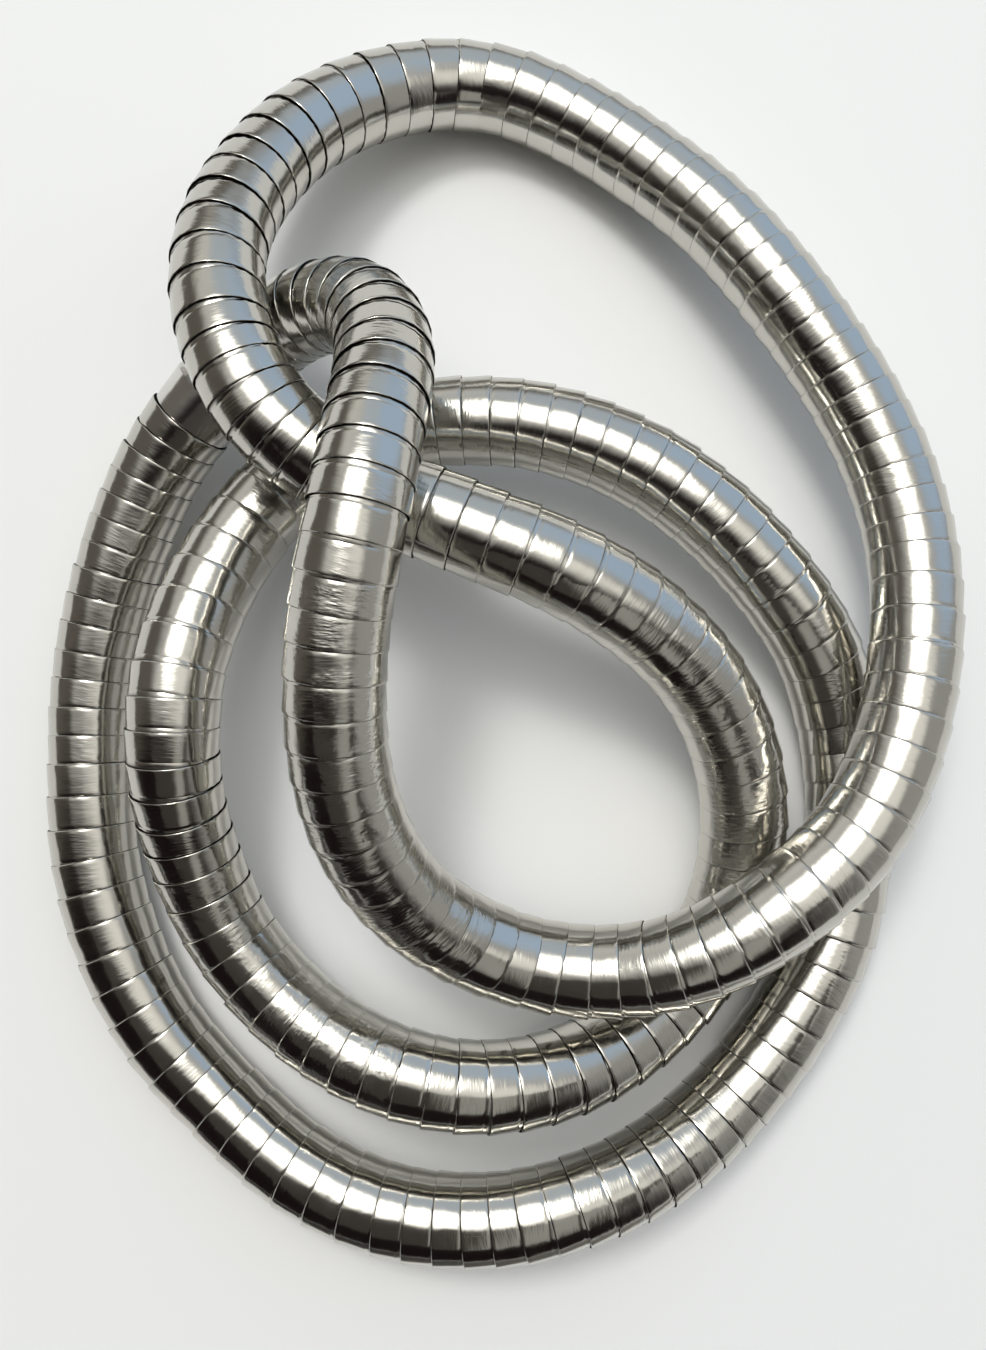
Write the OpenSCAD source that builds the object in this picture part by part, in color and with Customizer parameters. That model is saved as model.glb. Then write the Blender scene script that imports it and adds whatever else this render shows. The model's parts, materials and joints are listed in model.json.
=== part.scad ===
// Bendable link necklace: a long tube of nested steel ring links on a
// rubber-sheathed core wire, closed to a ring by a magnet clasp and laid
// down in loops. Millimetres, +Z up, standing on Z = 0.

/* [Links] */
// Outside diameter of a link at its wide rim
tube_d = 10; // [9.6:0.1:10.3]
// Wall of a link at its rim
rim_wall = 0.15; // [0.12:0.01:0.18]
// Wall of a link at its shoulder and neck
link_wall = 0.2; // [0.16:0.01:0.24]
// How much smaller in radius a link is where it leaves the link before it
shoulder_drop = 0.42; // [0.4:0.01:0.48]
// The same drop for the links of the hook, which are shorter and swing as far
hook_drop = 0.52; // [0.5:0.01:0.6]
// How much the neck draws in below the shoulder, in radius
neck_draw = 0.15; // [0.12:0.01:0.2]
// Length of neck inside the link before it
neck_lap = 1.3; // [1.2:0.05:1.4]

/* [Core] */
// Gap round the rubber sheath inside the narrowest necks, for the bends
sheath_clearance = 0.83; // [0.8:0.01:1.1]
// Diameter of the bendable wire inside the sheath
wire_d = 2.2; // [1.6:0.1:2.8]
// Gap between the wire and the bore of the sheath
wire_clearance = 0.1; // [0.05:0.05:0.2]
// Gap in the core at each modelled pivot
core_gap = 1.2; // [1:0.1:1.6]

/* [Clasp] */
// Length of each end ferrule along the tube
ferrule_l = 4.6; // [4.3:0.1:5]
// How much smaller in radius a ferrule is at its narrow end
ferrule_drop = 0.3; // [0.25:0.01:0.36]
// Gap between the two closed ends of the clasp
clasp_gap = 0.5; // [0.4:0.1:0.8]
// Diameter of each clasp magnet
magnet_d = 7; // [6:0.1:7.2]
// Thickness of each clasp magnet
magnet_t = 1.5; // [1:0.1:1.8]
// Thickness of the web that closes a ferrule behind its magnet
web_t = 0.6; // [0.4:0.1:0.8]
// Gap around a magnet in its pocket and in front of the core's end
seat_clearance = 0.1; // [0.05:0.05:0.15]

/* [Hidden] */

rim_r = tube_d / 2;
shoulder_r = rim_r - shoulder_drop;
neck_r = shoulder_r - neck_draw;
hook_bore_r = rim_r - hook_drop - neck_draw - link_wall;
sheath_r = hook_bore_r - sheath_clearance;
bore_r = wire_d / 2 + wire_clearance;
bore_overrun = 0.01;   // keeps the cut through the sheath's ends clean
pocket_r = magnet_d / 2 + seat_clearance;
pocket_l = magnet_t + seat_clearance;
cup_l = ferrule_l - clasp_gap / 2;
cup_r = rim_r - ferrule_drop;
web_r = cup_r + ferrule_drop * (pocket_l + web_t) / cup_l - link_wall;
smooth = 3;            // half the window that evens out the laid curve
steps = 16;            // samples between two route points
look = 0.4;            // half the length over which a direction is read
core_every = 2;        // links between two rings of the core on an open run
core_margin = 1.5;     // least distance of such a ring from an end of the core
sheath_sides = 10;
wire_sides = 6;
round_fn = 48;

// The laid route, one point about every 11 mm and closer in the hook:
// X and Y of the tube's middle in mm, and its height in tube diameters, so
// that runs which cross stay one diameter apart.
route = [
    // tail and hook
    [-31.5, 27.75, 1.02], [-27, 32, 1.2], [-22.5, 34.5, 1.45], [-18, 35, 1.8],
    [-14, 33.5, 2.2], [-11.5, 30, 2.6], [-10.5, 25.5, 2.95], [-11, 19.5, 3.3],
    // front run, over everything else
    [-12.5, 10, 3.5], [-14.5, -0.5, 3.35], [-15, -11.5, 3.05], [-13, -21, 2.6],
    // bottom sweep
    [-8, -29, 2], [0.5, -34.5, 1.6], [10.5, -36.5, 1.6], [21, -34.5, 1.8],
    [30.5, -29, 1.85], [38.5, -22, 1.7], [43.5, -12.5, 1.6], [46, -1.5, 1.5],
    // right rise and crown of the big loop
    [46.5, 9, 1.3], [44, 19.5, 1.2], [39, 29.5, 1.15], [33, 38.5, 1.1],
    [26.5, 47.5, 0.9], [18.5, 55.5, 0.65], [9.5, 62, 0.5], [-1, 66, 0.5],
    [-11.5, 64.5, 0.7], [-20.5, 58.5, 1.1], [-26, 50, 1.6], [-28.5, 40.5, 2.15],
    // left fall of the big loop, over the tail, then the middle strand
    [-27.5, 30.5, 2.5], [-22.5, 21, 2.5], [-13, 14.5, 2.3], [-3.5, 10.5, 2.3],
    [6.5, 6.5, 2.25], [15.5, 1.5, 1.95], [23, -5.5, 1.5], [27.5, -14.5, 1.1],
    // inner turn and inner ring
    [28.5, -25, 0.75], [25.5, -35, 0.6], [18.5, -43, 0.75], [9.5, -48, 1.1],
    [-1, -49.5, 1.35], [-11.5, -47.5, 1.35], [-21, -42.5, 1.15], [-28.5, -34.5, 1.1],
    [-32.5, -25, 1.35], [-34, -15, 1.75], [-33.5, -4, 1.8], [-30.5, 6, 1.5],
    // under strand and right strand
    [-25, 15, 1.2], [-17, 21.5, 1.15], [-6.5, 24, 1.15], [4.5, 23.5, 1.2],
    [15, 20, 1.2], [24, 14, 1.15], [32, 6, 1], [38, -2.5, 0.7],
    // outer ring, round to the clasp
    [41, -12.5, 0.5], [41.5, -23.5, 0.5], [39.5, -34.5, 0.5], [34.5, -44, 0.5],
    [27.5, -52.5, 0.6], [19, -59, 0.85], [9, -63, 1.05], [-1.5, -65, 1.05],
    [-12.5, -64, 0.95], [-22.5, -60, 0.75], [-31, -53.5, 0.55], [-38.5, -45.5, 0.5],
    [-43.5, -36, 0.5], [-46.5, -25.5, 0.5], [-47, -14.5, 0.5], [-46.5, -3.5, 0.5],
    [-44, 7.5, 0.6], [-40, 17.5, 0.7], [-36, 23.5, 0.85], [-31.5, 27.75, 1.02]];

last = len(route) - 1;
hook_end = 6;          // route point where the tight hook ends
tail_pivot = 8;        // route points that carry a modelled pivot
right_pivot = 62;
bottom_pivot = 66;
left_pivot = 70;
upper_pivot = 74;
end_pivot = 76;

// Links in each run of two route points, and of three in the last run. They
// are counted one by one, since they slide together or apart as the tube bends.
links_in_run = [
    3, 4, 4, 6, 7, 7,             // tail, hook and front run
    6, 7, 6, 6, 7, 7,             // sweep and rise
    7, 6, 6, 6, 9,                // crown and fall
    6, 7, 6, 7,                   // middle strand and turn
    7, 7, 6, 7, 6,                // inner ring
    7, 7, 7, 6,                   // under and right strand
    6, 6, 7, 7, 6, 6, 6, 7, 7];   // outer ring

// ---- the laid curve -------------------------------------------------------
laid = [for (p = route) [p.x, p.y, p.z * tube_d]];

function blend(a, b, c, d, t) =
    (2 * b + (c - a) * t + (2 * a - 5 * b + 4 * c - d) * t * t
     + (3 * b - a - 3 * c + d) * t * t * t) / 2;

function on_table(p) = [p.x, p.y, max(p.z, rim_r)];

// The two ends meet at the clasp, so each end borrows its neighbour there.
samples = [
    for (i = [0:last - 1])
        for (k = [0:steps - 1])
            on_table(blend(laid[i == 0 ? last - 1 : i - 1], laid[i], laid[i + 1],
                           laid[i + 2 > last ? 1 : i + 2], k / steps)),
    on_table(laid[last])];

lengths = [
    for (i = 0, s = 0; i < len(samples);
         s = s + (i + 1 < len(samples) ? norm(samples[i + 1] - samples[i]) : 0), i = i + 1)
        s];

along_x = [for (i = [0:len(samples) - 1]) [lengths[i], samples[i].x]];
along_y = [for (i = [0:len(samples) - 1]) [lengths[i], samples[i].y]];
along_z = [for (i = [0:len(samples) - 1]) [lengths[i], samples[i].z]];
total = lengths[len(lengths) - 1];

// The part stands centred on its own base.
shift = -[min([for (p = samples) p.x]) + max([for (p = samples) p.x]),
          min([for (p = samples) p.y]) + max([for (p = samples) p.y]), 0] / 2;

function raw(s) = [lookup(s, along_x), lookup(s, along_y), lookup(s, along_z)];

// Middle of the tube at the length s along it
function place(s) =
    let (w = min(smooth, s, total - s))
    (raw(s - w) + 2 * raw(s) + raw(s + w)) / 4 + shift;

function direction(s) =
    let (a = place(max(s - look, 0)), b = place(min(s + look, total)))
    (b - a) / norm(b - a);

// ---- where the links start ------------------------------------------------
function station(point) =
    min(max(lengths[point * steps], ferrule_l), total - ferrule_l);

// Each run of links spans two route points, the last one three.
runs = [for (p = [0:2:last - 3]) [p, p + 2 == last - 1 ? last : p + 2]];

function run_stations(from, to) =
    let (a = station(from),
         b = station(to),
         n = links_in_run[from / 2])
    [for (k = [0:n]) a + (b - a) * k / n];

// Puts a child, drawn along +Z from 0, between two points of the tube
module lay(p, q) {
    d = q - p;
    translate(p)
        rotate([0, acos(d.z / norm(d)), atan2(d.y, d.x)])
            children();
}

// ---- pieces ---------------------------------------------------------------
// One ring link: neck, shoulder and the skirt that opens to the rim
module link(length, drop) {
    start_r = rim_r - drop;
    tip_r = start_r - neck_draw;
    rotate_extrude($fn = round_fn)
        polygon([
            [tip_r, -neck_lap], [start_r, 0], [rim_r, length],
            [rim_r - rim_wall, length], [start_r - link_wall, 0],
            [tip_r - link_wall, -neck_lap]]);
}

// All the links between two route points
module link_run(from, to) {
    s = run_stations(from, to);
    drop = from < hook_end ? hook_drop : shoulder_drop;
    for (k = [0:len(s) - 2])
        lay(place(s[k]), place(s[k + 1]))
            link(norm(place(s[k + 1]) - place(s[k])), drop);
}

// One ring of points about the tube's middle
function core_ring(s, r, sides) =
    let (d = direction(s),
         side = cross(d, [0, 0, 1]) / norm(cross(d, [0, 0, 1])),
         up = cross(side, d))
    [for (k = [0:sides - 1])
        place(s) + r * (cos(360 * k / sides) * side + sin(360 * k / sides) * up)];

module core_sweep(stations, r, sides) {
    rings = len(stations);
    points = [for (s = stations) each core_ring(s, r, sides)];
    walls = [
        for (i = [0:rings - 2])
            for (k = [0:sides - 1])
                let (a = i * sides + k,
                     b = i * sides + (k + 1) % sides)
                each [[a, b, a + sides], [b, b + sides, a + sides]]];
    near_end = [for (k = [1:sides - 2]) [0, k + 1, k]];
    far = (rings - 1) * sides;
    far_end = [for (k = [1:sides - 2]) [far, far + k, far + k + 1]];
    polyhedron(points, concat(walls, near_end, far_end));
}

// The core of one body runs from one pivot or clasp end to the next.
core_start = clasp_gap / 2 + magnet_t + web_t + 2 * seat_clearance;

function core_from(point) = point == 0 ? core_start : station(point) + core_gap / 2;
function core_to(point) = point == last ? total - core_start : station(point) - core_gap / 2;

function core_stations(from, to, extra = 0) =
    let (a = core_from(from),
         b = core_to(to),
         starts = [
             for (r = runs)
                 if (r[0] >= from && r[1] <= to)
                     let (s = run_stations(r[0], r[1]))
                     each [for (k = [0:len(s) - 2]) s[k]]],
         kept = [
             for (k = [1:len(starts) - 1])
                 if (k % core_every == 1 || starts[k] < station(hook_end)) starts[k]])
    concat([a - extra], [for (s = kept) if (s > a + core_margin && s < b - core_margin) s],
           [b + extra]);

module sheath(from, to) {
    difference() {
        core_sweep(core_stations(from, to), sheath_r, sheath_sides);
        core_sweep(core_stations(from, to, bore_overrun), bore_r, wire_sides);
    }
}

module core_wire(from, to) {
    core_sweep(core_stations(from, to), wire_d / 2, wire_sides);
}

// Clasp cup on the tail: z = 0 is its closed face, with the magnet's pocket,
// and its skirt opens over the first link's neck.
module tail_cup() {
    rotate_extrude($fn = round_fn)
        polygon([
            [pocket_r, 0], [cup_r, 0], [rim_r, cup_l], [rim_r - rim_wall, cup_l],
            [web_r, pocket_l + web_t], [0, pocket_l + web_t],
            [0, pocket_l], [pocket_r, pocket_l]]);
}

// Clasp cup on the other end: its neck goes into the last link's skirt and
// its closed face, with the magnet's pocket, is at z = cup_l.
module end_cup() {
    rotate_extrude($fn = round_fn)
        polygon([
            [neck_r, -neck_lap], [cup_r, 0], [rim_r, cup_l], [pocket_r, cup_l],
            [pocket_r, cup_l - pocket_l], [0, cup_l - pocket_l],
            [0, cup_l - pocket_l - web_t],
            [shoulder_r - link_wall, cup_l - pocket_l - web_t],
            [shoulder_r - link_wall, 0], [neck_r - link_wall, -neck_lap]]);
}

module magnet() {
    cylinder(d = magnet_d, h = magnet_t, $fn = round_fn);
}

// Both halves of the clasp stand on one straight axis, between the two places
// where the links begin.
clasp_reach = place(ferrule_l) - place(total - ferrule_l);

function clasp_point(s) =
    (place(ferrule_l) + place(total - ferrule_l)) / 2 + s * clasp_reach / norm(clasp_reach);

// ---- named pieces: the links ----------------------------------------------
module tail_links() color("silver") link_run(0, 2);
module hook_links_1() color("silver") link_run(2, 4);
module hook_links_2() color("silver") link_run(4, 6);
module front_links_1() color("silver") link_run(6, 8);
module front_links_2() color("silver") link_run(8, 10);
module front_links_3() color("silver") link_run(10, 12);
module sweep_links_1() color("silver") link_run(12, 14);
module sweep_links_2() color("silver") link_run(14, 16);
module sweep_links_3() color("silver") link_run(16, 18);
module rise_links_1() color("silver") link_run(18, 20);
module rise_links_2() color("silver") link_run(20, 22);
module rise_links_3() color("silver") link_run(22, 24);
module crown_links_1() color("silver") link_run(24, 26);
module crown_links_2() color("silver") link_run(26, 28);
module crown_links_3() color("silver") link_run(28, 30);
module fall_links_1() color("silver") link_run(30, 32);
module fall_links_2() color("silver") link_run(32, 34);
module middle_links_1() color("silver") link_run(34, 36);
module middle_links_2() color("silver") link_run(36, 38);
module turn_links_1() color("silver") link_run(38, 40);
module turn_links_2() color("silver") link_run(40, 42);
module inner_ring_links_1() color("silver") link_run(42, 44);
module inner_ring_links_2() color("silver") link_run(44, 46);
module inner_ring_links_3() color("silver") link_run(46, 48);
module inner_ring_links_4() color("silver") link_run(48, 50);
module inner_ring_links_5() color("silver") link_run(50, 52);
module under_links_1() color("silver") link_run(52, 54);
module under_links_2() color("silver") link_run(54, 56);
module right_strand_links_1() color("silver") link_run(56, 58);
module right_strand_links_2() color("silver") link_run(58, 60);
module outer_ring_links_1() color("silver") link_run(60, 62);
module outer_ring_links_2() color("silver") link_run(62, 64);
module outer_ring_links_3() color("silver") link_run(64, 66);
module outer_ring_links_4() color("silver") link_run(66, 68);
module outer_ring_links_5() color("silver") link_run(68, 70);
module outer_ring_links_6() color("silver") link_run(70, 72);
module outer_ring_links_7() color("silver") link_run(72, 74);
module outer_ring_links_8() color("silver") link_run(74, 76);
module outer_ring_links_9() color("silver") link_run(76, last);

// ---- named pieces: the core -----------------------------------------------
module sheath_tail() color("dimgray") sheath(0, tail_pivot);
module sheath_main() color("dimgray") sheath(tail_pivot, right_pivot);
module sheath_right() color("dimgray") sheath(right_pivot, bottom_pivot);
module sheath_bottom() color("dimgray") sheath(bottom_pivot, left_pivot);
module sheath_left() color("dimgray") sheath(left_pivot, upper_pivot);
module sheath_upper() color("dimgray") sheath(upper_pivot, end_pivot);
module sheath_end() color("dimgray") sheath(end_pivot, last);
module wire_tail() color("lightgray") core_wire(0, tail_pivot);
module wire_main() color("lightgray") core_wire(tail_pivot, right_pivot);
module wire_right() color("lightgray") core_wire(right_pivot, bottom_pivot);
module wire_bottom() color("lightgray") core_wire(bottom_pivot, left_pivot);
module wire_left() color("lightgray") core_wire(left_pivot, upper_pivot);
module wire_upper() color("lightgray") core_wire(upper_pivot, end_pivot);
module wire_end() color("lightgray") core_wire(end_pivot, last);

// ---- named pieces: the clasp ----------------------------------------------
module tail_ferrule()
    color("silver") lay(clasp_point(clasp_gap / 2), place(ferrule_l)) tail_cup();

module tail_magnet()
    color("gray") lay(clasp_point(clasp_gap / 2), place(ferrule_l)) magnet();

module end_ferrule()
    color("silver") lay(place(total - ferrule_l), clasp_point(-clasp_gap / 2)) end_cup();

module end_magnet()
    color("gray") lay(clasp_point(-clasp_gap / 2), place(total - ferrule_l)) magnet();

tail_links();
hook_links_1();
hook_links_2();
front_links_1();
front_links_2();
front_links_3();
sweep_links_1();
sweep_links_2();
sweep_links_3();
rise_links_1();
rise_links_2();
rise_links_3();
crown_links_1();
crown_links_2();
crown_links_3();
fall_links_1();
fall_links_2();
middle_links_1();
middle_links_2();
turn_links_1();
turn_links_2();
inner_ring_links_1();
inner_ring_links_2();
inner_ring_links_3();
inner_ring_links_4();
inner_ring_links_5();
under_links_1();
under_links_2();
right_strand_links_1();
right_strand_links_2();
outer_ring_links_1();
outer_ring_links_2();
outer_ring_links_3();
outer_ring_links_4();
outer_ring_links_5();
outer_ring_links_6();
outer_ring_links_7();
outer_ring_links_8();
outer_ring_links_9();
sheath_tail();
sheath_main();
sheath_right();
sheath_bottom();
sheath_left();
sheath_upper();
sheath_end();
wire_tail();
wire_main();
wire_right();
wire_bottom();
wire_left();
wire_upper();
wire_end();
tail_ferrule();
tail_magnet();
end_ferrule();
end_magnet();
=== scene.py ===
import json
import math

import bpy
import numpy as np
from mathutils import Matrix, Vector


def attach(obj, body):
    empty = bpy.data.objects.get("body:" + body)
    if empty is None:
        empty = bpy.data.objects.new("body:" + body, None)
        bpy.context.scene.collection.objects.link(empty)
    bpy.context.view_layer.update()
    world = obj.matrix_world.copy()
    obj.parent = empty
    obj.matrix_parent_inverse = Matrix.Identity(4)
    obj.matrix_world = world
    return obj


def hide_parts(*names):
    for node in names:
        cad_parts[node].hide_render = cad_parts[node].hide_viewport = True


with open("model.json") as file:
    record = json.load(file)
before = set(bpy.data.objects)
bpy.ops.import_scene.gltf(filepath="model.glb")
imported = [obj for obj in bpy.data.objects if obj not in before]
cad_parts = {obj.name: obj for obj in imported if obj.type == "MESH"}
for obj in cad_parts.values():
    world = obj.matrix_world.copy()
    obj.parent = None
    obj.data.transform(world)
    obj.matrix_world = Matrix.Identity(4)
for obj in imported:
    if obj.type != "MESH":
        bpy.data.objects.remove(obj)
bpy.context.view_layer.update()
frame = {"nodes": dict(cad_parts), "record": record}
scene = bpy.context.scene
mm = 0.001

# ---- camera ---------------------------------------------------------------
cameraLook = {
    "place": (0.00019, -0.00964, 0.14208),
    "turn": (math.radians(2.0217), math.radians(0.0212), 0),
    "lens": 31.17,
    "sensor": 36,
    "clip": (0.005, 20),
}

cameraData = bpy.data.cameras.new("overheadCamera")
cameraData.lens = cameraLook["lens"]
cameraData.sensor_width = cameraLook["sensor"]
cameraData.clip_start, cameraData.clip_end = cameraLook["clip"]
camera = bpy.data.objects.new("overheadCamera", cameraData)
camera.location = cameraLook["place"]
camera.rotation_euler = cameraLook["turn"]
scene.collection.objects.link(camera)
scene.camera = camera
print("camera set")

# ---- the laid curve -------------------------------------------------------
# X and Y of the tube's middle in mm and its height in tube diameters
laidRoute = {
    "tubeDiameter": 10,
    "shift": (0.1855, -0.5412, 0),
    "smooth": 3,
    "steps": 16,
    "points": [
        (-31.5, 27.75, 1.02), (-27, 32, 1.2), (-22.5, 34.5, 1.45), (-18, 35, 1.8),
        (-14, 33.5, 2.2), (-11.5, 30, 2.6), (-10.5, 25.5, 2.95), (-11, 19.5, 3.3),
        (-12.5, 10, 3.5), (-14.5, -0.5, 3.35), (-15, -11.5, 3.05), (-13, -21, 2.6),
        (-8, -29, 2), (0.5, -34.5, 1.6), (10.5, -36.5, 1.6), (21, -34.5, 1.8),
        (30.5, -29, 1.85), (38.5, -22, 1.7), (43.5, -12.5, 1.6), (46, -1.5, 1.5),
        (46.5, 9, 1.3), (44, 19.5, 1.2), (39, 29.5, 1.15), (33, 38.5, 1.1),
        (26.5, 47.5, 0.9), (18.5, 55.5, 0.65), (9.5, 62, 0.5), (-1, 66, 0.5),
        (-11.5, 64.5, 0.7), (-20.5, 58.5, 1.1), (-26, 50, 1.6), (-28.5, 40.5, 2.15),
        (-27.5, 30.5, 2.5), (-22.5, 21, 2.5), (-13, 14.5, 2.3), (-3.5, 10.5, 2.3),
        (6.5, 6.5, 2.25), (15.5, 1.5, 1.95), (23, -5.5, 1.5), (27.5, -14.5, 1.1),
        (28.5, -25, 0.75), (25.5, -35, 0.6), (18.5, -43, 0.75), (9.5, -48, 1.1),
        (-1, -49.5, 1.35), (-11.5, -47.5, 1.35), (-21, -42.5, 1.15), (-28.5, -34.5, 1.1),
        (-32.5, -25, 1.35), (-34, -15, 1.75), (-33.5, -4, 1.8), (-30.5, 6, 1.5),
        (-25, 15, 1.2), (-17, 21.5, 1.15), (-6.5, 24, 1.15), (4.5, 23.5, 1.2),
        (15, 20, 1.2), (24, 14, 1.15), (32, 6, 1), (38, -2.5, 0.7),
        (41, -12.5, 0.5), (41.5, -23.5, 0.5), (39.5, -34.5, 0.5), (34.5, -44, 0.5),
        (27.5, -52.5, 0.6), (19, -59, 0.85), (9, -63, 1.05), (-1.5, -65, 1.05),
        (-12.5, -64, 0.95), (-22.5, -60, 0.75), (-31, -53.5, 0.55), (-38.5, -45.5, 0.5),
        (-43.5, -36, 0.5), (-46.5, -25.5, 0.5), (-47, -14.5, 0.5), (-46.5, -3.5, 0.5),
        (-44, 7.5, 0.6), (-40, 17.5, 0.7), (-36, 23.5, 0.85), (-31.5, 27.75, 1.02),
    ],
}
ferruleLength = 4.6
linksInRun = [       # counted for each run of two route points
    3, 4, 4, 6, 7, 7,             # tail, hook and front run
    6, 7, 6, 6, 7, 7,             # sweep and rise
    7, 6, 6, 6, 9,                # crown and fall
    6, 7, 6, 7,                   # middle strand and turn
    7, 7, 6, 7, 6,                # inner ring
    7, 7, 7, 6,                   # under and right strand
    6, 6, 7, 7, 6, 6, 6, 7, 7,    # outer ring
]
lastPoint = len(laidRoute["points"]) - 1


def blendPoint(a, b, c, d, t):
    return (2 * b + (c - a) * t + (2 * a - 5 * b + 4 * c - d) * t * t
            + (3 * b - a - 3 * c + d) * t ** 3) / 2


def sampleRoute():
    diameter = laidRoute["tubeDiameter"]
    laid = [np.array((x, y, z * diameter)) for x, y, z in laidRoute["points"]]
    samples = []
    for i in range(lastPoint):
        before = laid[lastPoint - 1] if i == 0 else laid[i - 1]
        after = laid[1] if i + 2 > lastPoint else laid[i + 2]
        for k in range(laidRoute["steps"]):
            samples.append(blendPoint(before, laid[i], laid[i + 1], after, k / laidRoute["steps"]))
    samples.append(laid[lastPoint])
    samples = np.array(samples)
    samples[:, 2] = np.maximum(samples[:, 2], diameter / 2)
    steps = np.linalg.norm(np.diff(samples, axis=0), axis=1)
    return samples, np.concatenate(([0], np.cumsum(steps)))


samples, lengths = sampleRoute()
totalLength = lengths[-1]


def rawPlace(s):
    return np.array([np.interp(s, lengths, samples[:, axis]) for axis in range(3)])


def placeAt(s):
    w = min(laidRoute["smooth"], s, totalLength - s)
    even = (rawPlace(s - w) + 2 * rawPlace(s) + rawPlace(s + w)) / 4
    return even + np.array(laidRoute["shift"])


def stationAt(point):
    s = lengths[point * laidRoute["steps"]]
    return min(max(s, ferruleLength), totalLength - ferruleLength)


def stationsBetween(first, last):
    a, b = stationAt(first), stationAt(last)
    count = linksInRun[first // 2]
    return [a + (b - a) * k / count for k in range(count + 1)]


def runsBetween(first, last):
    ends = [p for p in range(first, last, 2) if p + 1 < lastPoint]
    return [(p, lastPoint if p + 3 == lastPoint else p + 2) for p in ends]


print("route laid:", round(totalLength, 1), "mm of tube")


# ---- node helpers ---------------------------------------------------------
def addNode(tree, kind, values=None, **settings):
    node = tree.nodes.new(kind)
    for name, value in settings.items():
        setattr(node, name, value)
    for name, value in (values or {}).items():
        node.inputs[name].default_value = value
    return node


# an output is linked to the target, and a number is set on it
def wire(tree, source, target):
    if isinstance(source, bpy.types.NodeSocket):
        tree.links.new(source, target)
    else:
        target.default_value = source


def addMath(tree, operation, a, b=None):
    node = addNode(tree, "ShaderNodeMath", operation=operation)
    for socket, value in zip(node.inputs, (a, b)):
        if value is not None:
            wire(tree, value, socket)
    return node.outputs[0]


def addCombined(tree, x=0.0, y=0.0, z=0.0):
    node = addNode(tree, "ShaderNodeCombineXYZ")
    for axis, value in zip("XYZ", (x, y, z)):
        wire(tree, value, node.inputs[axis])
    return node.outputs[0]


def addSplit(tree, vector):
    node = addNode(tree, "ShaderNodeSeparateXYZ")
    wire(tree, vector, node.inputs[0])
    return node.outputs


def addScaled(tree, vector, factor):
    node = addNode(tree, "ShaderNodeVectorMath", operation="SCALE")
    wire(tree, vector, node.inputs[0])
    wire(tree, factor, node.inputs["Scale"])
    return node.outputs[0]


def addStored(tree, name, kind="FLOAT"):
    node = addNode(tree, "GeometryNodeInputNamedAttribute", {"Name": name}, data_type=kind)
    return node.outputs["Attribute"]


def addSizes(tree, sizes):
    for name, value in sizes.items():
        kind = "NodeSocketInt" if isinstance(value, int) else "NodeSocketFloat"
        tree.interface.new_socket(name, in_out="INPUT", socket_type=kind).default_value = value


# ---- one ring link as a node group ----------------------------------------
# The link's rim lies at z = 0 and its neck points to -Z.
linkShape = {
    "Rim Radius": 5.0 * mm,
    "Shoulder Drop": 0.18 * mm,
    "Length": 3.2 * mm,
    "Neck Draw": 0.1 * mm,
    "Neck Lap": 0.9 * mm,
    "Rim Wall": 0.1 * mm,
    "Edge Round": 0.09 * mm,
    "Segments": 24,
}
edgeShape = {            # in parts of Edge Round, Shoulder Drop and Length
    "rimBack": 1.3,
    "crestIn": 0.35,
    "innerBack": 0.4,
    "innerDrop": 0.42,
    "innerDepth": 0.42,
}
mergeReach = 0.002 * mm


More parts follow.
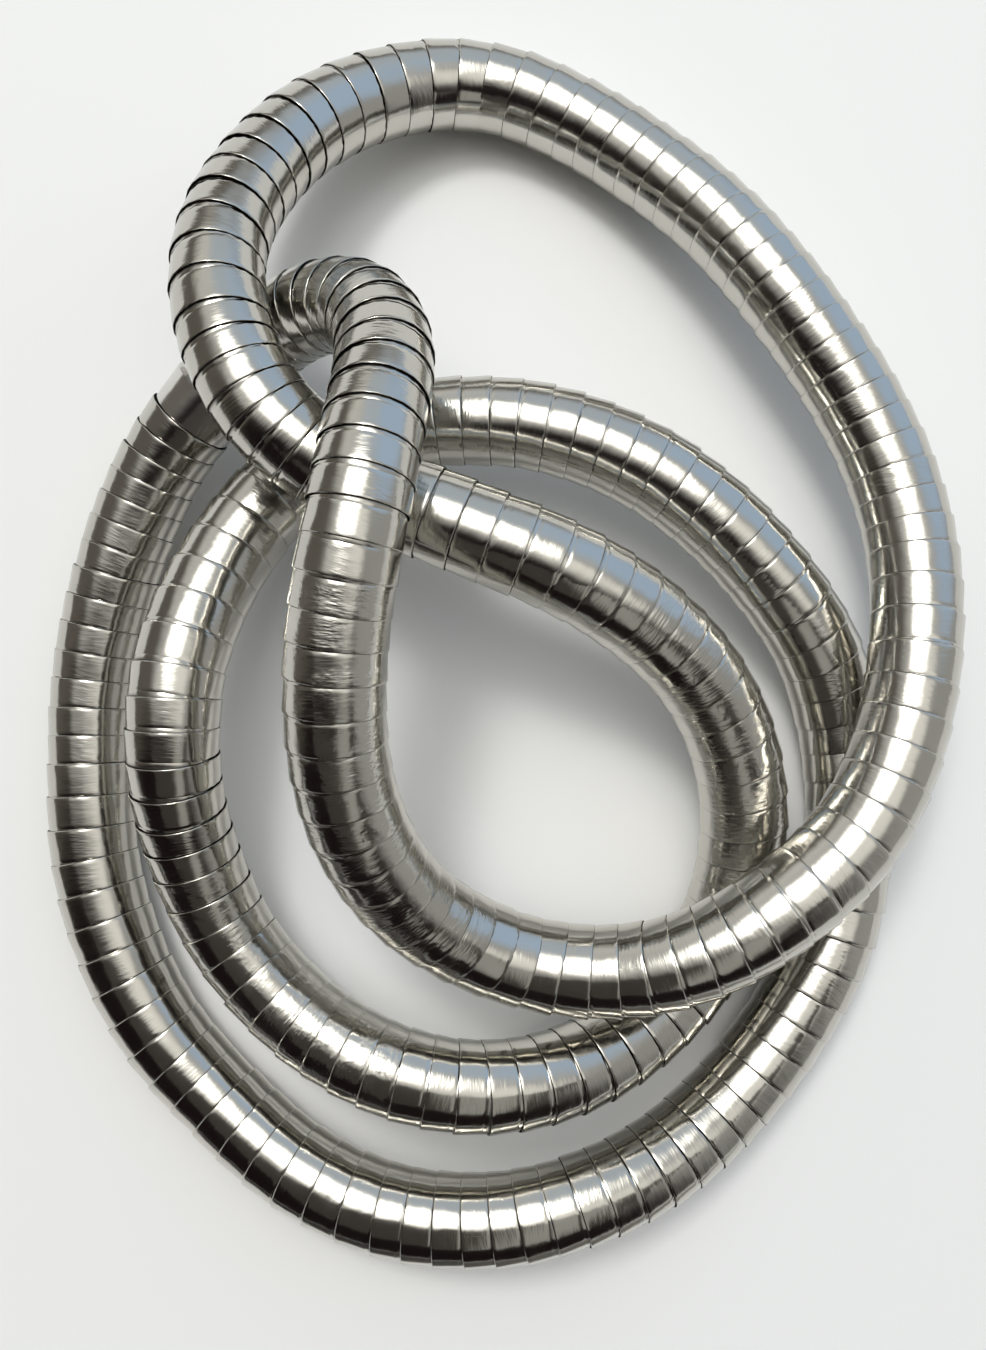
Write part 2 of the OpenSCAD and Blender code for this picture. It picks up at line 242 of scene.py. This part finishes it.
def makeLinkShell():
    tree = bpy.data.node_groups.new("linkShell", "GeometryNodeTree")
    addSizes(tree, linkShape)
    tree.interface.new_socket("Shell", in_out="OUTPUT", socket_type="NodeSocketGeometry")
    sizes = addNode(tree, "NodeGroupInput").outputs
    rim, edge, length = sizes["Rim Radius"], sizes["Edge Round"], sizes["Length"]
    shoulder = addMath(tree, "SUBTRACT", rim, sizes["Shoulder Drop"])
    neck = addMath(tree, "SUBTRACT", shoulder, sizes["Neck Draw"])
    crest = addMath(tree, "SUBTRACT", rim, addMath(tree, "MULTIPLY", edge, edgeShape["crestIn"]))
    inner = addMath(tree, "SUBTRACT", rim, sizes["Rim Wall"])
    innerDrop = addMath(tree, "MULTIPLY", sizes["Shoulder Drop"], edgeShape["innerDrop"])
    foot = addMath(tree, "MULTIPLY", length, -1)
    profile = [          # radius and height, from the neck round the rim to the inside
        (neck, addMath(tree, "SUBTRACT", foot, sizes["Neck Lap"])),
        (shoulder, addMath(tree, "ADD", foot, edge)),
        (rim, addMath(tree, "MULTIPLY", edge, -edgeShape["rimBack"])),
        (crest, 0.0),
        (inner, addMath(tree, "MULTIPLY", edge, -edgeShape["innerBack"])),
        (addMath(tree, "SUBTRACT", inner, innerDrop),
         addMath(tree, "MULTIPLY", length, -edgeShape["innerDepth"])),
    ]
    # a flat grid whose X becomes the way round and whose rows take the profile's places
    grid = addNode(tree, "GeometryNodeMeshGrid", {"Size X": 1, "Size Y": 1, "Vertices Y": len(profile)})
    wire(tree, addMath(tree, "ADD", sizes["Segments"], 1), grid.inputs["Vertices X"])
    flat = addSplit(tree, addNode(tree, "GeometryNodeInputPosition").outputs[0])
    angle = addMath(tree, "MULTIPLY", addMath(tree, "ADD", flat["X"], 0.5), 2 * math.pi)
    row = addMath(tree, "MULTIPLY", addMath(tree, "ADD", flat["Y"], 0.5), len(profile) - 1)
    pick = addNode(tree, "GeometryNodeIndexSwitch", data_type="VECTOR")
    while len(pick.index_switch_items) < len(profile):
        pick.index_switch_items.new()
    wire(tree, addMath(tree, "ROUND", row), pick.inputs["Index"])
    for k, (radius, height) in enumerate(profile):
        wire(tree, addCombined(tree, x=radius, z=height), pick.inputs[str(k)])
    chosen = addSplit(tree, pick.outputs[0])
    x, y = (addMath(tree, "MULTIPLY", chosen["X"], addMath(tree, way, angle)) for way in ("COSINE", "SINE"))
    bend = addNode(tree, "GeometryNodeSetPosition")
    wire(tree, grid.outputs["Mesh"], bend.inputs["Geometry"])
    wire(tree, addCombined(tree, x, y, chosen["Z"]), bend.inputs["Position"])
    close = addNode(tree, "GeometryNodeMergeByDistance", {"Distance": mergeReach})
    wire(tree, bend.outputs[0], close.inputs["Geometry"])
    keep = addNode(tree, "GeometryNodeStoreNamedAttribute", {"Name": "linkSpace"},
                   data_type="FLOAT_VECTOR", domain="POINT")
    wire(tree, close.outputs["Geometry"], keep.inputs["Geometry"])
    wire(tree, addNode(tree, "GeometryNodeInputPosition").outputs[0], keep.inputs["Value"])
    wire(tree, keep.outputs[0], addNode(tree, "NodeGroupOutput").inputs["Shell"])
    return tree


# ---- a run of links as a node group ---------------------------------------
linkRun = {"Tilt": math.radians(1.1), "Swell": 0.004, "Seed": 7}
swellUp = 0.4            # a link swells by this part of what it can shrink
neckStart = 1.01         # in link lengths behind the rim


def makeLinkTube(shell):
    tree = bpy.data.node_groups.new("linkTube", "GeometryNodeTree")
    tree.interface.new_socket("Spine", in_out="INPUT", socket_type="NodeSocketGeometry")
    addSizes(tree, {**linkShape, **linkRun})
    tree.interface.new_socket("Material", in_out="INPUT", socket_type="NodeSocketMaterial")
    tree.interface.new_socket("Tube", in_out="OUTPUT", socket_type="NodeSocketGeometry")
    given = addNode(tree, "NodeGroupInput").outputs
    forward = addStored(tree, "forward", "FLOAT_VECTOR")
    stretch = addMath(tree, "DIVIDE", addStored(tree, "reach"), given["Length"])
    ring = addNode(tree, "GeometryNodeGroup", node_tree=shell)
    for name in linkShape:
        wire(tree, given[name], ring.inputs[name])
    # each link points along the tube, with a small lean and a turn of its own
    aim = addNode(tree, "FunctionNodeAlignRotationToVector", axis="Z")
    wire(tree, forward, aim.inputs["Vector"])
    lean = addNode(tree, "FunctionNodeRandomValue", data_type="FLOAT_VECTOR")
    for name, sign in (("Min", -1), ("Max", 1)):
        tilt = addMath(tree, "MULTIPLY", given["Tilt"], sign)
        wire(tree, addCombined(tree, tilt, tilt, math.pi * sign), lean.inputs[name])
    wire(tree, given["Seed"], lean.inputs["Seed"])
    wire(tree, addStored(tree, "linkNumber", "INT"), lean.inputs["ID"])
    leanTurn = addNode(tree, "FunctionNodeEulerToRotation")
    wire(tree, lean.outputs[0], leanTurn.inputs[0])
    turn = addNode(tree, "FunctionNodeRotateRotation", rotation_space="LOCAL")
    wire(tree, aim.outputs[0], turn.inputs["Rotation"])
    wire(tree, leanTurn.outputs[0], turn.inputs["Rotate By"])
    # its girth and its length
    swell = addNode(tree, "FunctionNodeRandomValue", data_type="FLOAT")
    wire(tree, addMath(tree, "SUBTRACT", 1.0, given["Swell"]), swell.inputs["Min"])
    most = addMath(tree, "ADD", 1.0, addMath(tree, "MULTIPLY", given["Swell"], swellUp))
    wire(tree, most, swell.inputs["Max"])
    wire(tree, given["Seed"], swell.inputs["Seed"])
    girth = addMath(tree, "MULTIPLY", swell.outputs[1], addStored(tree, "girth"))
    place = addNode(tree, "GeometryNodeInstanceOnPoints")
    wire(tree, given["Spine"], place.inputs["Points"])
    wire(tree, ring.outputs["Shell"], place.inputs["Instance"])
    wire(tree, turn.outputs[0], place.inputs["Rotation"])
    wire(tree, addCombined(tree, girth, girth, stretch), place.inputs["Scale"])
    real = addNode(tree, "GeometryNodeRealizeInstances")
    wire(tree, place.outputs[0], real.inputs[0])
    # a short link keeps the full lap of its neck
    height = addSplit(tree, addStored(tree, "linkSpace", "FLOAT_VECTOR"))["Z"]
    isNeck = addMath(tree, "LESS_THAN", height, addMath(tree, "MULTIPLY", given["Length"], -neckStart))
    lost = addMath(tree, "MULTIPLY", addMath(tree, "SUBTRACT", stretch, 1.0), given["Neck Lap"])
    lap = addNode(tree, "GeometryNodeSetPosition")
    wire(tree, real.outputs[0], lap.inputs["Geometry"])
    wire(tree, addScaled(tree, forward, addMath(tree, "MULTIPLY", lost, isNeck)), lap.inputs["Offset"])
    smooth = addNode(tree, "GeometryNodeSetShadeSmooth")
    wire(tree, lap.outputs[0], smooth.inputs[0])
    finish = addNode(tree, "GeometryNodeSetMaterial")
    wire(tree, smooth.outputs[0], finish.inputs["Geometry"])
    wire(tree, given["Material"], finish.inputs["Material"])
    wire(tree, finish.outputs[0], addNode(tree, "NodeGroupOutput").inputs["Tube"])
    return tree


linkTube = makeLinkTube(makeLinkShell())
print("link tree built")

linkWear = {"stretches": [(8.6, 12.8), (37, 41), (45, 48)],     # in route points
            "own": 0.45, "worn": 0.55}
seedMix = (12.9898, 43758.5453)      # makes a link's seed from its place
numbersPerMm = 10
pivotGirth = 0.982       # the first link past a pivot is a little slimmer, so that it can turn


def wearAt(s, seed):
    point = np.interp(s, lengths[::laidRoute["steps"]], range(lastPoint + 1))
    worn = any(first < point < last for first, last in linkWear["stretches"])
    return linkWear["own"] * seed + (linkWear["worn"] if worn else 0)


def makeSpine(name, first, last):
    places, forwards, reaches, seeds, wears, numbers = [], [], [], [], [], []
    for start, end in runsBetween(first, last):
        stations = stationsBetween(start, end)
        for a, b in zip(stations, stations[1:]):
            p, q = placeAt(a), placeAt(b)
            reach = np.linalg.norm(q - p)
            places.append(tuple(q * mm))
            forwards.extend((q - p) / reach)
            reaches.append(reach * mm)
            numbers.append(round(b * numbersPerMm))
            seeds.append(math.modf(abs(math.sin(b * seedMix[0])) * seedMix[1])[0])
            wears.append(wearAt((a + b) / 2, seeds[-1]))
    girths = [pivotGirth if first else 1.0] + [1.0] * (len(places) - 1)
    mesh = bpy.data.meshes.new(name)
    mesh.from_pydata(places, [], [])
    for attribute, kind, key, values in (
            ("forward", "FLOAT_VECTOR", "vector", forwards),
            ("reach", "FLOAT", "value", reaches),
            ("linkNumber", "INT", "value", numbers),
            ("linkSeed", "FLOAT", "value", seeds),
            ("linkWear", "FLOAT", "value", wears),
            ("girth", "FLOAT", "value", girths)):
        mesh.attributes.new(attribute, kind, "POINT").data.foreach_set(key, values)
    spine = bpy.data.objects.new(name, mesh)
    scene.collection.objects.link(spine)
    return spine


def setInput(modifier, tree, name, value):
    for item in tree.interface.items_tree:
        if item.item_type == "SOCKET" and item.in_out == "INPUT" and item.name == name:
            modifier[item.identifier] = value


def makePlain(obj, name):
    depsgraph = bpy.context.evaluated_depsgraph_get()
    mesh = bpy.data.meshes.new_from_object(obj.evaluated_get(depsgraph), preserve_all_data_layers=True,
                                           depsgraph=depsgraph)
    mesh.name = name
    plain = bpy.data.objects.new(name, mesh)
    scene.collection.objects.link(plain)
    bpy.data.objects.remove(obj)
    return plain


# ---- shared wear and groove groups ----------------------------------------
def newGroup(name, inputs, outputs):
    group = bpy.data.node_groups.new(name, "ShaderNodeTree")
    for socketName, value in inputs.items():
        kind = "NodeSocketVector" if value is None else "NodeSocketFloat"
        socket = group.interface.new_socket(socketName, in_out="INPUT", socket_type=kind)
        if value is not None:
            socket.default_value = value
    for socketName in outputs:
        group.interface.new_socket(socketName, in_out="OUTPUT", socket_type="NodeSocketFloat")
    return group, addNode(group, "NodeGroupInput").outputs, addNode(group, "NodeGroupOutput").inputs


def addNoise(tree, place, scale, detail, offset=None):
    noise = addNode(tree, "ShaderNodeTexNoise", {"Detail": detail},
                    noise_dimensions="4D" if offset else "3D")
    wire(tree, place, noise.inputs["Vector"])
    wire(tree, scale, noise.inputs["Scale"])
    if offset:
        wire(tree, offset, noise.inputs["W"])
    return noise.outputs["Fac"]


def addRange(tree, value, fromMin, fromMax, toMin=0.0, toMax=1.0, kind="SMOOTHSTEP"):
    limits = {"From Min": fromMin, "From Max": fromMax, "To Min": toMin, "To Max": toMax}
    spread = addNode(tree, "ShaderNodeMapRange", limits, interpolation_type=kind)
    wire(tree, value, spread.inputs["Value"])
    return spread.outputs["Result"]


metalWear = {
    "perMetre": 1000,            # the place comes in metres and the sizes are in mm
    "seedSpan": 61.0,
    "wearRange": (0.25, 0.8, 0.05, 1.0),
    "patchScale": 0.35, "patchDetail": 3, "patchRange": (0.4, 0.56),
    "dentDetail": 1, "dentHeight": 2.2,
    "roundScale": 5.0, "leanSpan": 0.3, "brushDetail": 2,
    "brushHeight": 0.45, "scuffedHeight": 2.6,
    "cloudScale": 0.5, "cloudDetail": 3,
    "scuffRough": 0.08, "cloudRough": 0.1, "brushRough": 0.05,
    "cloudTint": 0.16, "seedTint": 0.1,
}


def makeWornMetal():
    look = metalWear
    group, given, out = newGroup("wornMetal", {
        "Place": None, "Seed": 0.0, "Wear": 0.3, "Scratch Width": 0.3, "Scratch Length": 1.8,
        "Scuff Amount": 0.8, "Dent Size": 2.2, "Base Roughness": 0.14}, ["Roughness", "Height", "Tint"])

    def times(a, b):
        return addMath(group, "MULTIPLY", a, b)

    def plus(a, b):
        return addMath(group, "ADD", a, b)

    def around(value, span):
        return times(addMath(group, "SUBTRACT", value, 0.5), span)

    place = addScaled(group, given["Place"], look["perMetre"])
    at = addSplit(group, place)
    seed = times(given["Seed"], look["seedSpan"])
    # scuffed in patches
    chosen = addRange(group, given["Wear"], *look["wearRange"])
    patch = addRange(group, addNoise(group, place, look["patchScale"], look["patchDetail"], seed),
                     *look["patchRange"])
    scuff = times(times(chosen, patch), given["Scuff Amount"])
    dentScale = addMath(group, "DIVIDE", 1.0, given["Dent Size"])
    dents = addNoise(group, place, dentScale, look["dentDetail"], seed)
    # scratches that run round the link, each link with its own lean
    along = times(addMath(group, "ARCTAN2", at["Y"], at["X"]), look["roundScale"])
    across = plus(at["Z"], times(along, around(given["Seed"], look["leanSpan"])))
    ringPlace = addCombined(group, addMath(group, "DIVIDE", along, given["Scratch Length"]),
                            addMath(group, "DIVIDE", across, given["Scratch Width"]))
    brush = addNoise(group, ringPlace, 1.0, look["brushDetail"], seed)
    scratched = times(brush, plus(look["brushHeight"], times(scuff, look["scuffedHeight"])))
    wire(group, plus(scratched, times(dents, look["dentHeight"])), out["Height"])
    cloud = addNoise(group, place, look["cloudScale"], look["cloudDetail"], seed)
    rough = plus(given["Base Roughness"], times(scuff, look["scuffRough"]))
    rough = plus(rough, around(cloud, look["cloudRough"]))
    wire(group, plus(rough, around(brush, look["brushRough"])), out["Roughness"])
    wire(group, plus(times(cloud, look["cloudTint"]), times(given["Seed"], look["seedTint"])), out["Tint"])
    return group


grooveLook = {"insideRange": (0.06 * mm, 0.09 * mm), "underRange": (0.2, 1.0), "rollPower": 2.0}


def makeGroove():
    # Mask is 1 deep under the next rim and inside a link, where painted shade and grime darken the groove;
    # Edge is 1 at the rim and the shoulder
    group, given, out = newGroup("linkGroove", {
        "Place": None, "Rim Radius": linkShape["Rim Radius"], "Shoulder Drop": linkShape["Shoulder Drop"],
        "Length": linkShape["Length"], "Depth": 0.8 * mm, "Roll": 0.42 * mm}, ["Mask", "Edge"])
    at = addSplit(group, given["Place"])
    radius = addNode(group, "ShaderNodeVectorMath", operation="LENGTH")
    wire(group, addCombined(group, at["X"], at["Y"]), radius.inputs[0])
    slope = addMath(group, "DIVIDE", given["Shoulder Drop"], given["Length"])
    skirt = addMath(group, "ADD", given["Rim Radius"], addMath(group, "MULTIPLY", at["Z"], slope))
    inside = addRange(group, addMath(group, "SUBTRACT", skirt, radius.outputs["Value"]),
                      *grooveLook["insideRange"])
    below = addMath(group, "SUBTRACT", addMath(group, "MULTIPLY", at["Z"], -1), given["Length"])
    under = addRange(group, addMath(group, "DIVIDE", below, given["Depth"]), *grooveLook["underRange"])
    wire(group, addMath(group, "MAXIMUM", inside, under), out["Mask"])
    fromRim, fromFoot = (addMath(group, "DIVIDE", addMath(group, "ABSOLUTE", height), given["Roll"])
                         for height in (at["Z"], below))
    nearest = addMath(group, "MINIMUM", addMath(group, "MINIMUM", fromRim, fromFoot), 1.0)
    rolled = addMath(group, "POWER", addMath(group, "SUBTRACT", 1.0, nearest), grooveLook["rollPower"])
    wire(group, rolled, out["Edge"])
    return group


wornMetal = makeWornMetal()
linkGroove = makeGroove()


# ---- materials ------------------------------------------------------------
def mixColour(tree, factor, a, b):
    mix = addNode(tree, "ShaderNodeMix", data_type="RGBA")
    wire(tree, factor, mix.inputs["Factor"])
    for socket, value in ((mix.inputs[6], a), (mix.inputs[7], b)):
        wire(tree, (*value, 1) if isinstance(value, tuple) else value, socket)
    return mix.outputs[2]


def makeMaterial(name, values=None):
    material = bpy.data.materials.new(name)
    material.use_nodes = True
    shader = material.node_tree.nodes["Principled BSDF"]
    for key, value in (values or {}).items():
        shader.inputs[key].default_value = value
    return material, material.node_tree, shader


def addBump(tree, shader, height, depth, strength=1.0):
    bump = addNode(tree, "ShaderNodeBump", {"Strength": strength, "Distance": depth})
    wire(tree, height, bump.inputs["Height"])
    wire(tree, bump.outputs["Normal"], shader.inputs["Normal"])


def makeSteel(name, look):
    material, tree, shader = makeMaterial(name, {"Metallic": 1})
    worn = addNode(tree, "ShaderNodeGroup", node_tree=wornMetal)
    for key in ("Base Roughness", "Scuff Amount"):
        worn.inputs[key].default_value = look[key]
    colour = mixColour(tree, worn.outputs["Tint"], look["pale"], look["deep"])
    rough, height = worn.outputs["Roughness"], worn.outputs["Height"]
    if "shadeAndGrime" in look:
        place = addNode(tree, "ShaderNodeAttribute", attribute_name="linkSpace").outputs["Vector"]
        for attribute, key in (("linkSeed", "Seed"), ("linkWear", "Wear")):
            given = addNode(tree, "ShaderNodeAttribute", attribute_name=attribute)
            wire(tree, given.outputs["Fac"], worn.inputs[key])
        groove = addNode(tree, "ShaderNodeGroup", node_tree=linkGroove)
        wire(tree, place, groove.inputs["Place"])
        mask, rolled = groove.outputs["Mask"], groove.outputs["Edge"]
        # painted shade and grime: the groove under the next rim is mixed to a near-black colour
        colour = mixColour(tree, mask, colour, look["shadeAndGrime"])
        rough = addMath(tree, "ADD", rough, addMath(tree, "MULTIPLY", mask, look["grimeRough"]))
        height = addMath(tree, "SUBTRACT", height, addMath(tree, "MULTIPLY", rolled, look["roll"]))
    else:
        place = addNode(tree, "ShaderNodeTexCoord").outputs["Object"]
    wire(tree, place, worn.inputs["Place"])
    wire(tree, colour, shader.inputs["Base Color"])
    wire(tree, rough, shader.inputs["Roughness"])
    addBump(tree, shader, height, look["depth"])
    return material


steelLook = {
    # the near-black groove colour is painted shade with grime
    "pale": (0.565, 0.55, 0.505), "deep": (0.42, 0.40, 0.35), "shadeAndGrime": (0.014, 0.012, 0.010),
    "Base Roughness": 0.15, "Scuff Amount": 0.8, "depth": 0.028 * mm, "roll": 1.6, "grimeRough": 0.3,
}
claspLook = {
    "pale": (0.70, 0.68, 0.65), "deep": (0.60, 0.57, 0.53),
    "Base Roughness": 0.18, "Scuff Amount": 0.3, "depth": 0.015 * mm,
}
magnetLook = {**claspLook, "pale": (0.68, 0.67, 0.66), "deep": (0.58, 0.56, 0.54), "Base Roughness": 0.12}
wireLook = {**claspLook, "pale": (0.66, 0.66, 0.67), "deep": (0.55, 0.55, 0.56), "Base Roughness": 0.32}
linkSteel = makeSteel("linkSteel", steelLook)
claspSteel = makeSteel("claspSteel", claspLook)
magnetNickel = makeSteel("magnetNickel", magnetLook)
coreWire = makeSteel("coreWire", wireLook)

rubberLook = {
    "dark": (0.014, 0.014, 0.015), "dusty": (0.045, 0.044, 0.043),
    "dustScale": 900, "dustDetail": 3, "dustRange": (0.45, 0.75), "roughRange": (0.3, 0.7, 0.52, 0.77),
    "grainScale": 2600, "grainDetail": 2, "grainDepth": 0.03 * mm, "grainStrength": 0.6,
}


def makeRubber(look):
    material, tree, shader = makeMaterial("coreRubber")
    place = addNode(tree, "ShaderNodeTexCoord").outputs["Object"]
    dust = addNoise(tree, place, look["dustScale"], look["dustDetail"])
    dusty = addRange(tree, dust, *look["dustRange"])
    wire(tree, mixColour(tree, dusty, look["dark"], look["dusty"]), shader.inputs["Base Color"])
    wire(tree, addRange(tree, dust, *look["roughRange"], "LINEAR"), shader.inputs["Roughness"])
    grain = addNoise(tree, place, look["grainScale"], look["grainDetail"])
    addBump(tree, shader, grain, look["grainDepth"], look["grainStrength"])
    return material


coreRubber = makeRubber(rubberLook)
for nodeName, obj in frame["nodes"].items():
    if nodeName.startswith("sheath"):
        finish = coreRubber
    elif nodeName.startswith("wire"):
        finish = coreWire
    elif "magnet" in nodeName:
        finish = magnetNickel
    else:
        finish = claspSteel
    for slot in obj.material_slots:
        slot.material = finish
print("materials made")

# ---- links on their bodies ------------------------------------------------
evenNormals = 90
linkPieces = {           # body: piece, first and last route point
    "tail": ("tailLinks", 0, 8),
    "root": ("loopLinks", 8, 62),
    "outer_right": ("outerRightLinks", 62, 66),
    "outer_bottom": ("outerBottomLinks", 66, 70),
    "outer_left": ("outerLeftLinks", 70, 74),
    "outer_upper": ("outerUpperLinks", 74, 76),
    "outer_end": ("outerEndLinks", 76, lastPoint),
}

for body, (name, first, last) in linkPieces.items():
    spine = makeSpine(name + "Spine", first, last)
    modifier = spine.modifiers.new("linkTube", "NODES")
    modifier.node_group = linkTube
    for key, value in {**linkShape, **linkRun, "Material": linkSteel}.items():
        setInput(modifier, linkTube, key, value)
    count = len(spine.data.vertices)
    piece = makePlain(spine, name)
    weighted = piece.modifiers.new("evenNormals", "WEIGHTED_NORMAL")
    weighted.mode = "FACE_AREA"
    weighted.weight = evenNormals
    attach(piece, body)
    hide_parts(*[n for n in frame["record"]["behaviour"]["bodies"][body] if "links" in n])
    print(name, count, "links,", len(piece.data.polygons), "faces")

# ---- floor and light ------------------------------------------------------
floorSize = 2.6
floorLook = {"Base Color": (0.86, 0.868, 0.866, 1), "Roughness": 0.5, "Specular IOR Level": 0}
bpy.ops.mesh.primitive_plane_add(size=floorSize, location=(0, 0, 0))
floor = bpy.context.object
floor.name = "tableTop"
floor.data.materials.append(makeMaterial("tableTop", floorLook)[0])

lampLook = {
    "place": Vector((-0.20, 0.48, 0.96)),
    "aim": Vector((0, 0, 0)),
    "size": (0.21, 0.19),
    "power": 3.3,
    "colour": (1, 0.985, 0.955),
}
light = bpy.data.lights.new("ceilingLamp", "AREA")
light.shape = "RECTANGLE"
light.size, light.size_y = lampLook["size"]
light.energy = lampLook["power"]
light.color = lampLook["colour"]
lamp = bpy.data.objects.new("ceilingLamp", light)
lamp.location = lampLook["place"]
lamp.rotation_mode = "QUATERNION"
lamp.rotation_quaternion = (lampLook["place"] - lampLook["aim"]).to_track_quat("Z", "Y")
scene.collection.objects.link(lamp)

# Grey cards seen only in the metal paint shade into its reflections, and their pale bands paint lighter
# patches there: one over the near side, one flat on the table beyond the picture.
# "turns" says where along the card's width the pale band rises, is full, falls and ends.
cards = {
    "shadeCard": {
        "size": (0.26, 0.17), "place": (0, -0.154, 0.150), "turns": (-0.03, 0.12, 0.28, 0.38),
        "dark": (0.07, 0.058, 0.052), "pale": (0.58, 0.57, 0.54)},
    # painted shade: a dark sheet on the table, seen only in the metal, darkens its reflections of the far
    # table
    "tableShadeCard": {
        "size": (0.50, 0.34), "place": (-0.16, -0.262, 0.001), "turns": (0.2, 0.5, 1, 2),
        "dark": (0.02, 0.016, 0.015), "pale": (0.30, 0.29, 0.27)},
}
cardRoughness = 0.8


def addCard(name, look):
    bpy.ops.mesh.primitive_plane_add(size=1, location=look["place"])
    card = bpy.context.object
    card.name = name
    card.scale = (*look["size"], 1)
    for ray in ("camera", "diffuse", "shadow"):
        setattr(card, "visible_" + ray, False)
    material, tree, shader = makeMaterial(name, {"Roughness": cardRoughness})
    across = addSplit(tree, addNode(tree, "ShaderNodeTexCoord").outputs["Object"])["X"]
    rise, top, fall, end = look["turns"]
    band = addMath(tree, "MULTIPLY", addRange(tree, across, rise, top), addRange(tree, across, end, fall))
    wire(tree, mixColour(tree, band, look["dark"], look["pale"]), shader.inputs["Base Color"])
    card.data.materials.append(material)


for name, look in cards.items():
    addCard(name, look)

# A tent round the set, unseen by the camera, gives the metal its dark and light sides.
tentLook = {
    "radius": 4.0, "segments": 48, "rings": 24,
    "walls": (0.15, 0.137, 0.12),
    "lobes": [           # direction, degrees from it where the lobe starts and is full, colour
        ((0.96, 0.25, 0.10), 85, 30, (0.44, 0.44, 0.43)),
        ((-0.24, 0.75, 0.62), 34, 12, (0.88, 0.87, 0.83)),
        ((0.00, 0.32, 0.95), 56, 20, (0.62, 0.625, 0.61)),
        ((-0.34, -0.02, 0.94), 26, 8, (0.85, 0.84, 0.81)),
        ((0.28, -0.12, 0.95), 28, 12, (1.15, 1.13, 1.08)),
        ((-0.08, 0.36, 0.93), 26, 8, (4.0, 3.94, 3.8)),
        ((0.22, 0.83, 0.50), 28, 12, (0.60, 0.68, 0.77)),
        ((0.72, 0.58, 0.38), 36, 14, (0.54, 0.70, 0.92)),
        ((-0.20, -0.92, 0.34), 74, 44, (0.012, 0.008, 0.008)),
    ],
}


def makeTentMaterial(look):
    material = bpy.data.materials.new("lightTent")
    material.use_nodes = True
    tree = material.node_tree
    tree.nodes.clear()
    unit = addNode(tree, "ShaderNodeVectorMath", operation="NORMALIZE")
    wire(tree, addNode(tree, "ShaderNodeTexCoord").outputs["Object"], unit.inputs[0])
    shade = look["walls"]
    for direction, start, full, colour in look["lobes"]:
        near = addNode(tree, "ShaderNodeVectorMath", operation="DOT_PRODUCT")
        wire(tree, unit.outputs[0], near.inputs[0])
        near.inputs[1].default_value = Vector(direction).normalized()
        limits = [math.cos(math.radians(degrees)) for degrees in (start, full)]
        shade = mixColour(tree, addRange(tree, near.outputs["Value"], *limits), shade, colour)
    glow = addNode(tree, "ShaderNodeEmission")
    wire(tree, shade, glow.inputs["Color"])
    wire(tree, glow.outputs[0], addNode(tree, "ShaderNodeOutputMaterial").inputs["Surface"])
    return material


bpy.ops.mesh.primitive_uv_sphere_add(segments=tentLook["segments"], ring_count=tentLook["rings"],
                                     radius=tentLook["radius"])
tent = bpy.context.object
tent.name = "lightTent"
tent.visible_camera = False
tent.data.materials.append(makeTentMaterial(tentLook))

worldColour = (0.80, 0.805, 0.80, 1)
world = bpy.data.worlds.new("paleRoom")
scene.world = world
world.use_nodes = True
world.node_tree.nodes["Background"].inputs["Color"].default_value = worldColour
scene.view_settings.view_transform = "Standard"
print("light set")
